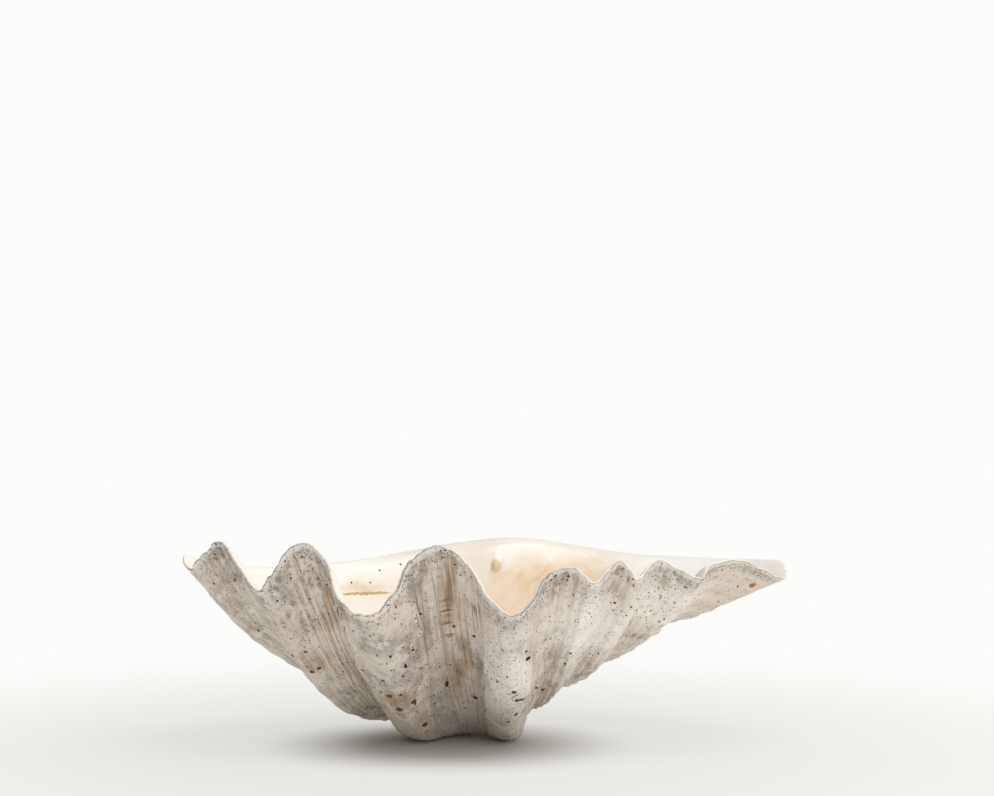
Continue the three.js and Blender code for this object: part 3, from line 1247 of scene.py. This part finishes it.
@dataclass(frozen=True)
class WeatheredShell:
    """Clam shell, aragonite: chalky and pitted by the sea outside, porcelain smooth inside, with light and
    shade painted into some patches.
    """

    pits: Sequence[Pit]
    name: str = "weathered_clam_shell"
    chalk: str = "e3d9cd"
    speck: str = "2a241f"
    porcelain: str = "f8efe4"
    index: float = 1.55
    rough_outside: float = 0.85
    rough_inside: float = 0.36
    rim_band: tuple[float, float] = (232.0, 250.0)
    outside_edge: tuple[float, float] = (0.35, 0.05)
    lining_edge: tuple[float, float] = (0.5, 0.95)
    speck_strength: float = 0.88
    speck_sizes: tuple[float, float] = (0.35, 1.2)
    speck_softness: float = 0.6
    speck_furrow: float = 0.45
    pit_spread: float = 1.4
    pit_edge: tuple[float, float] = (0.2, 0.42)
    warp_size: float = 2.5
    warp: float = 2.2
    outside_washes: tuple[Wash, ...] = (
        Wash("b5aa9c", 0.65, "broad", 0.42, 0.62, "mottle", 0.35, 0.6),
        Wash("e6d3c1", 0.8, StainKind.PINK.value, 0.0, 0.8, "mottle", 0.25, 0.5),
        Wash("a8a285", 0.65, StainKind.GREEN.value, 0.0, 0.9, "mottle", 0.35, 0.6),
        # Grey patches, and painted shade over rib A.
        Wash("91877b", 0.8, StainKind.GREY_AND_SHADE.value, 0.05, 0.9, "mottle", 0.36, 0.6),
        Wash("7a7269", 0.5, StainKind.GREY_AND_SHADE.value, 0.2, 0.9, "crumb", 0.48, 0.62),
        Wash("ad8a63", 0.85, StainKind.TAN.value, 0.05, 0.9, "streaks", 0.28, 0.58),
        Wash("d4b08a", 0.6, StainKind.PEACH.value, 0.0, 0.9, "mottle", 0.2, 0.5),
        # Brown silt in the channel, and painted shade at the feet.
        Wash("84725c", 0.9, StainKind.SILT_AND_SHADE.value, 0.05, 0.9, "mottle", 0.2, 0.5),
        Wash("836a52", 0.65, StainKind.TAN.value, 0.3, 1.0, "threads", 0.5, 0.64),
        Wash("94806a", 0.6, "furrow", 0.3, 0.9, "threads", 0.53, 0.66),
        Wash("a58c70", 0.5, "furrow", 0.1, 0.8, "streaks", 0.52, 0.66),
        Wash("a08f79", 0.35, "bands", 0.52, 0.66, "crumb", 0.4, 0.6),
        Wash("7d6c58", 0.6, "relief", -0.05, -0.6, "crumb", 0.3, 0.6),
        Wash("eee6db", 0.6, "relief", 0.25, 0.9, "crumb", 0.35, 0.6),
        # Painted light on rib B and the right-hand folds.
        Wash("fbf5ec", 0.85, StainKind.PAINTED_LIGHT.value, 0.0, 0.8, "crumb", 0.2, 0.5),
        Wash("8b8277", 0.4, "rim", 0.2, 0.8, "crumb", 0.44, 0.62),
        Wash("f6f0e7", 0.7, "rim", 0.84, 0.98, "crumb", 0.3, 0.5),
        # Painted shade: darkens the channel's two steep sides.
        Wash("6f5f4e", 0.6, "channel", 0.1, 0.9, "crumb", 0.3, 0.55),
        Wash("54443a", 0.85, StainKind.RINGS.value, 0.15, 0.7, "rings", 0.55, 0.63),
        Wash("57483b", 0.85, StainKind.HAIRS.value, 0.15, 0.7, "threads", 0.56, 0.63),
    )
    inside_washes: tuple[Wash, ...] = (
        Wash("e8c694", 0.85, StainKind.CREAM.value, 0.0, 0.9, "broad", 0.3, 0.5),
        Wash("f3e5d8", 0.5, "broad", 0.45, 0.6, "mottle", 0.4, 0.6),
        # Painted light on the lining at the back right.
        Wash("fffdfa", 0.9, StainKind.PAINTED_LIGHT.value, 0.0, 0.7),
        Wash("e2c9a4", 0.3, "bands", 0.52, 0.7, "broad", 0.45, 0.62),
        # Hinge stains, and painted shade in the crease under the hinge plate.
        Wash("cbaa74", 0.7, StainKind.HINGE.value, 0.1, 0.8),
    )
    reliefs: tuple[tuple[str, float], ...] = (
        ("grain", 0.16), ("crumb", 0.3), ("mottle", 0.7), ("bands", 0.4), ("streaks", 0.6), ("threads", 0.28),
    )
    specks: tuple[Specks, ...] = (
        Specks(1.1, 0.33, 0.22, 0.95, 0.12),
        Specks(1.7, 0.28, 0.34, 0.9, 0.22),
        Specks(3.1, 0.21, 0.34, 0.5, 0.4),
        Specks(5.5, 0.18, 0.36, 0.3, 0.6),
    )

    def patterns(self, tree: bpy.types.NodeTree) -> dict[str, Source]:
        """Adds the patterns that the colours and the relief are made from.

        Args:
            tree: the node tree.

        Returns:
            The patterns by name.
        """
        place = add_node(tree, "TexCoord").outputs["Object"]
        ring = add_node(tree, "Attribute", attribute_name="growth_ring").outputs["Vector"]
        found: dict[str, Source] = {"place": place}
        for name in ("furrow", "inside", "relief", "channel", *(kind.value for kind in StainKind)):
            found[name] = add_node(tree, "Attribute", attribute_name=name).outputs["Fac"]
        for name, cloud in CLOUDS.items():
            where = place
            if cloud.stretch is not None:
                where = add_node(tree, "VectorMath", {0: ring, 1: cloud.stretch}, operation="MULTIPLY")
            found[name] = add_node(
                tree, "TexNoise", {"Vector": where, "Scale": 1.0 / cloud.size, "Detail": cloud.detail}
            )
        age = add_node(tree, "SeparateXYZ", {0: ring}).outputs["Z"]
        start, end = self.rim_band
        found["rim"] = add_node(tree, "MapRange", {0: age, 1: start, 2: end}, interpolation_type="SMOOTHSTEP")
        start, end = self.outside_edge
        found["outside"] = add_node(tree, "MapRange", {0: found["inside"], 1: start, 2: end})
        return found

    def washed(
        self, tree: bpy.types.NodeTree, base: str, washes: Sequence[Wash], patterns: dict[str, Source]
    ) -> bpy.types.NodeSocket:
        """Lays washes over a base colour.

        Args:
            tree: the node tree.
            base: the colour under them.
            washes: the layers, lowest first.
            patterns: the patterns that they name.

        Returns:
            The colour.
        """
        colour: object = linear(base)
        for wash in washes:
            where = add_node(
                tree,
                "MapRange",
                {0: patterns[wash.pattern], 1: wash.none, 2: wash.full, 4: wash.strength},
                interpolation_type="SMOOTHSTEP",
            )
            kept = add_node(
                tree,
                "MapRange",
                {0: patterns[wash.breaks], 1: wash.breaks_none, 2: wash.breaks_full},
                interpolation_type="SMOOTHSTEP",
            )
            share = add_node(tree, "Math", {0: where, 1: kept}, operation="MULTIPLY")
            mixed = add_node(tree, "Mix", {0: share, 6: colour, 7: linear(wash.colour)}, data_type="RGBA")
            colour = mixed.outputs[2]
        return colour

    def speckled(
        self, tree: bpy.types.NodeTree, specks: Specks, patterns: dict[str, Source]
    ) -> bpy.types.Node:
        """Adds one size of speck.

        Args:
            tree: the node tree.
            specks: their size and number.
            patterns: the patterns by name.

        Returns:
            Where they are, 0 to 1.
        """
        cells = add_node(tree, "TexVoronoi", {"Vector": patterns["place"], "Scale": 1.0 / (specks.cell * MM)})
        chance = add_node(tree, "SeparateColor", {0: cells.outputs["Color"]})
        high = add_node(tree, "MapRange", {0: patterns["furrow"], 3: self.speck_furrow})
        crest = add_node(tree, "Math", {0: patterns["rim"], 1: high}, operation="MULTIPLY")
        even = add_node(tree, "MapRange", {0: crest, 3: specks.share, 4: specks.rim_share})
        flocks = add_node(tree, "MapRange", {0: patterns["broad"], 1: 0.38, 2: 0.6, 3: 0.4, 4: 1.35})
        share = add_node(tree, "Math", {0: even, 1: flocks}, operation="MULTIPLY")
        wanted = add_node(tree, "Math", {0: chance, 1: share}, operation="LESS_THAN")
        small, large = self.speck_sizes
        scale = add_node(tree, "MapRange", {0: chance.outputs[1], 3: small, 4: large})
        away = add_node(tree, "Math", {0: cells.outputs["Distance"], 1: scale}, operation="DIVIDE")
        dot = add_node(
            tree,
            "MapRange",
            {0: away, 1: specks.radius, 2: specks.radius * self.speck_softness},
            interpolation_type="SMOOTHSTEP",
        )
        shown = add_node(tree, "Math", {0: dot, 1: wanted}, operation="MULTIPLY")
        return add_node(tree, "Math", {0: shown, 1: patterns["outside"]}, operation="MULTIPLY")

    def pitted(self, tree: bpy.types.NodeTree, tone: PitTone, patterns: dict[str, Source]) -> bpy.types.Node:
        """Adds the pits of one tone.

        Args:
            tree: the node tree.
            tone: which pits.
            patterns: the patterns by name.

        Returns:
            Where they are, 0 to 1.
        """
        pits = [pit for pit in self.pits if pit.tone is tone]
        mask: object = 0.0
        for pit in pits:
            centred = add_node(
                tree,
                "Mapping",
                {
                    "Vector": patterns["ragged_place"],
                    "Location": (pit.x * MM, pit.y * MM, pit.z * MM),
                    "Scale": tuple(self.pit_spread * half * MM for half in pit.size()),
                },
                vector_type="TEXTURE",
            )
            ball = add_node(tree, "TexGradient", {"Vector": centred}, gradient_type="SPHERICAL")
            mask = add_node(tree, "Math", {0: ball.outputs["Fac"], 1: mask}, operation="MAXIMUM")
        if all(pit.inside for pit in pits):
            # A long mark reaches through the wall, and mustn't show on the other side.
            mask = add_node(tree, "Math", {0: mask, 1: patterns["inside"]}, operation="MULTIPLY")
        none, full = self.pit_edge
        return add_node(tree, "MapRange", {0: mask, 1: none, 2: full}, interpolation_type="SMOOTHSTEP")

    def material(self) -> bpy.types.Material:
        """Builds the node material.

        Returns:
            The material.
        """
        made = bpy.data.materials.new(self.name)
        tree = empty_tree(made)
        patterns = self.patterns(tree)
        # Pits aren't round: the place that they read is shifted by about half a millimetre.
        warp = add_node(
            tree,
            "TexNoise",
            {"Vector": patterns["place"], "Scale": 1.0 / (self.warp_size * MM), "Detail": 2.0},
        ).outputs["Color"]
        centred = add_node(tree, "VectorMath", {0: warp, 1: (0.5, 0.5, 0.5)}, operation="SUBTRACT")
        shifted = add_node(tree, "VectorMath", {0: centred, "Scale": self.warp * MM}, operation="SCALE")
        patterns["ragged_place"] = add_node(
            tree, "VectorMath", {0: patterns["place"], 1: shifted}, operation="ADD"
        )

        colour = self.washed(tree, self.chalk, self.outside_washes, patterns)
        heights: list[tuple[Source, float]] = [(patterns[name], high) for name, high in self.reliefs]
        for specks in self.specks:
            holes = self.speckled(tree, specks, patterns)
            dark = add_node(tree, "Math", {0: holes, 1: self.speck_strength}, operation="MULTIPLY")
            colour = add_node(
                tree, "Mix", {0: dark, 6: colour, 7: linear(self.speck)}, data_type="RGBA"
            ).outputs[2]
            heights.append((holes, -specks.depth))
        lining = self.washed(tree, self.porcelain, self.inside_washes, patterns)
        start, end = self.lining_edge
        within = add_node(
            tree, "MapRange", {0: patterns["inside"], 1: start, 2: end}, interpolation_type="SMOOTHSTEP"
        )
        colour = add_node(tree, "Mix", {0: within, 6: colour, 7: lining}, data_type="RGBA").outputs[2]
        for tone in PitTone:
            mask = self.pitted(tree, tone, patterns)
            colour = add_node(
                tree, "Mix", {0: mask, 6: colour, 7: linear(tone.value)}, data_type="RGBA"
            ).outputs[2]

        # Heights in millimetres, summed for one bump on the outside.
        total: object = 0.0
        for pattern, height in heights:
            total = add_node(tree, "Math", {0: pattern, 1: height, 2: total}, operation="MULTIPLY_ADD")
        total = add_node(tree, "Math", {0: total, 1: patterns["outside"]}, operation="MULTIPLY")
        bump = add_node(tree, "Bump", {"Height": total, "Distance": MM, "Strength": 1.0})
        gloss = add_node(
            tree, "MapRange", {0: patterns["inside"], 3: self.rough_outside, 4: self.rough_inside}
        )
        shader = add_node(
            tree,
            "BsdfPrincipled",
            {"Base Color": colour, "Roughness": gloss, "Normal": bump, "IOR": self.index},
        )
        add_node(tree, "OutputMaterial", {"Surface": shader})
        return made


@dataclass(frozen=True)
class PaleFloor:
    """Studio floor in pale grey paint with painted light: it glows more with distance from the shell's
    middle, which lifts the shadow round the shell and leaves it darkest at the feet, and glows evenly far
    off, so that no horizon shows.
    """

    name: str = "white_studio_floor"
    # Pale grey paint: where the glow is weak, round the shell's middle, it shows as painted shadow at the
    # feet.
    colour: str = "c2c0bc"
    roughness: float = 0.6
    specular: float = 0.15
    far_colour: str = "fefefc"
    glow: float = 0.985
    # Painted light: the glow is measured from this middle, beside the shell's feet, and the near glow lifts
    # the shadow round the shell.
    middle: Place = (-0.02, -0.03, 0.0)
    shadow_lifting_glow: Place = (0.03, 0.11, 0.64)
    far_glow: Place = (0.08, 0.5, 0.36)

    def material(self) -> bpy.types.Material:
        """Builds the node material.

        Returns:
            The material.
        """
        made = bpy.data.materials.new(self.name)
        tree = empty_tree(made)
        place = add_node(tree, "TexCoord").outputs["Object"]
        away = add_node(tree, "VectorMath", {0: place, 1: self.middle}, operation="DISTANCE").outputs["Value"]
        share: object = 0.0
        # The near glow is painted light that lifts the shadow round the shell. The far glow hides the
        # horizon.
        for start, end, most in (self.shadow_lifting_glow, self.far_glow):
            step = add_node(
                tree, "MapRange", {0: away, 1: start, 2: end, 4: most}, interpolation_type="SMOOTHSTEP"
            )
            share = add_node(tree, "Math", {0: step, 1: share}, operation="ADD")
        paint = add_node(
            tree,
            "BsdfPrincipled",
            {
                "Base Color": linear(self.colour),
                "Roughness": self.roughness,
                "Specular IOR Level": self.specular,
            },
        )
        far = add_node(tree, "Emission", {"Color": linear(self.far_colour), "Strength": self.glow})
        both = add_node(tree, "MixShader", {0: share, 1: paint, 2: far})
        add_node(tree, "OutputMaterial", {"Surface": both})
        return made


@dataclass
class Studio:
    """Floor, lights, world and camera, in metres."""

    floor_radius: float = 40.0
    camera_place: Place = (0.00695, -1.28433, 0.189)
    focal_px: float = 2300.0
    picture_width_px: float = 994.0
    sensor_mm: float = 36.0
    sky_colour: str = "fdfdfb"
    sky: float = 0.7
    sky_slope: Place = (0.56, -0.28, -0.03)
    seen_sky: float = 0.992
    key_place: Place = (0.35, -0.05, 1.4)
    key_aim: Place = (0.0, 0.0, 0.05)
    key_size: float = 0.9
    key_watts: float = 6.8

    def floor(self) -> bpy.types.Object:
        """Makes the floor, a wide flat disc.

        Returns:
            The floor.
        """
        disc = bmesh.new()
        bmesh.ops.create_circle(disc, cap_ends=True, segments=64, radius=self.floor_radius)
        floor = add_mesh("studio_floor", disc)
        floor.data.materials.append(PaleFloor().material())
        return floor

    def light(self) -> None:
        """Hangs one broad soft light overhead and fills the room with white, more from the camera's side."""
        lamp = bpy.data.lights.new("overhead_softbox", "AREA")
        lamp.shape = "DISK"
        lamp.size = self.key_size
        lamp.energy = self.key_watts
        holder = add_object("overhead_softbox", lamp)
        holder.location = self.key_place
        aim = Vector(self.key_aim) - Vector(self.key_place)
        holder.rotation_euler = aim.to_track_quat("-Z", "Y").to_euler()

        world = bpy.data.worlds.new("white_room")
        tree = empty_tree(world)
        direction = add_node(tree, "TexCoord").outputs["Object"]
        slope = add_node(tree, "VectorMath", {0: direction, 1: self.sky_slope}, operation="DOT_PRODUCT")
        lit = add_node(tree, "Math", {0: slope.outputs["Value"], 1: self.sky}, operation="ADD")
        seen = add_node(tree, "LightPath").outputs["Is Camera Ray"]
        strength = add_node(tree, "MapRange", {0: seen, 3: lit, 4: self.seen_sky})
        room = add_node(tree, "Background", {"Color": linear(self.sky_colour), "Strength": strength})
        add_node(tree, "OutputWorld", {"Surface": room})
        bpy.context.scene.world = world

    def camera(self) -> None:
        """Sets the camera level, at the height and distance of the photograph's."""
        lens = bpy.data.cameras.new("camera")
        lens.sensor_width = self.sensor_mm
        lens.lens = self.focal_px * self.sensor_mm / self.picture_width_px
        lens.clip_start, lens.clip_end = 0.05, 200.0
        holder = add_object("camera", lens)
        holder.location = self.camera_place
        holder.rotation_euler = (math.pi / 2, 0.0, 0.0)
        bpy.context.scene.camera = holder

    def build(self) -> bpy.types.Object:
        """Builds the studio.

        Returns:
            Its floor.
        """
        self.light()
        self.camera()
        scene = bpy.context.scene
        scene.view_settings.view_transform = "Standard"
        scene.view_settings.look = "None"
        return self.floor()


def main() -> None:
    """Builds the shell and the studio round it."""
    logging.basicConfig(level=logging.INFO, format="%(name)s: %(message)s")
    floor = Studio().build()
    LOG.info("floor, light and camera are in place")

    shell, pits = Valve().build()
    shell.data.materials.append(WeatheredShell(pits).material())
    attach(shell, "root")
    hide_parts("valve")
    LOG.info("%s: %d faces, %d pits", shell.name, len(shell.data.polygons), len(pits))


if __name__ == "__main__":
    main()
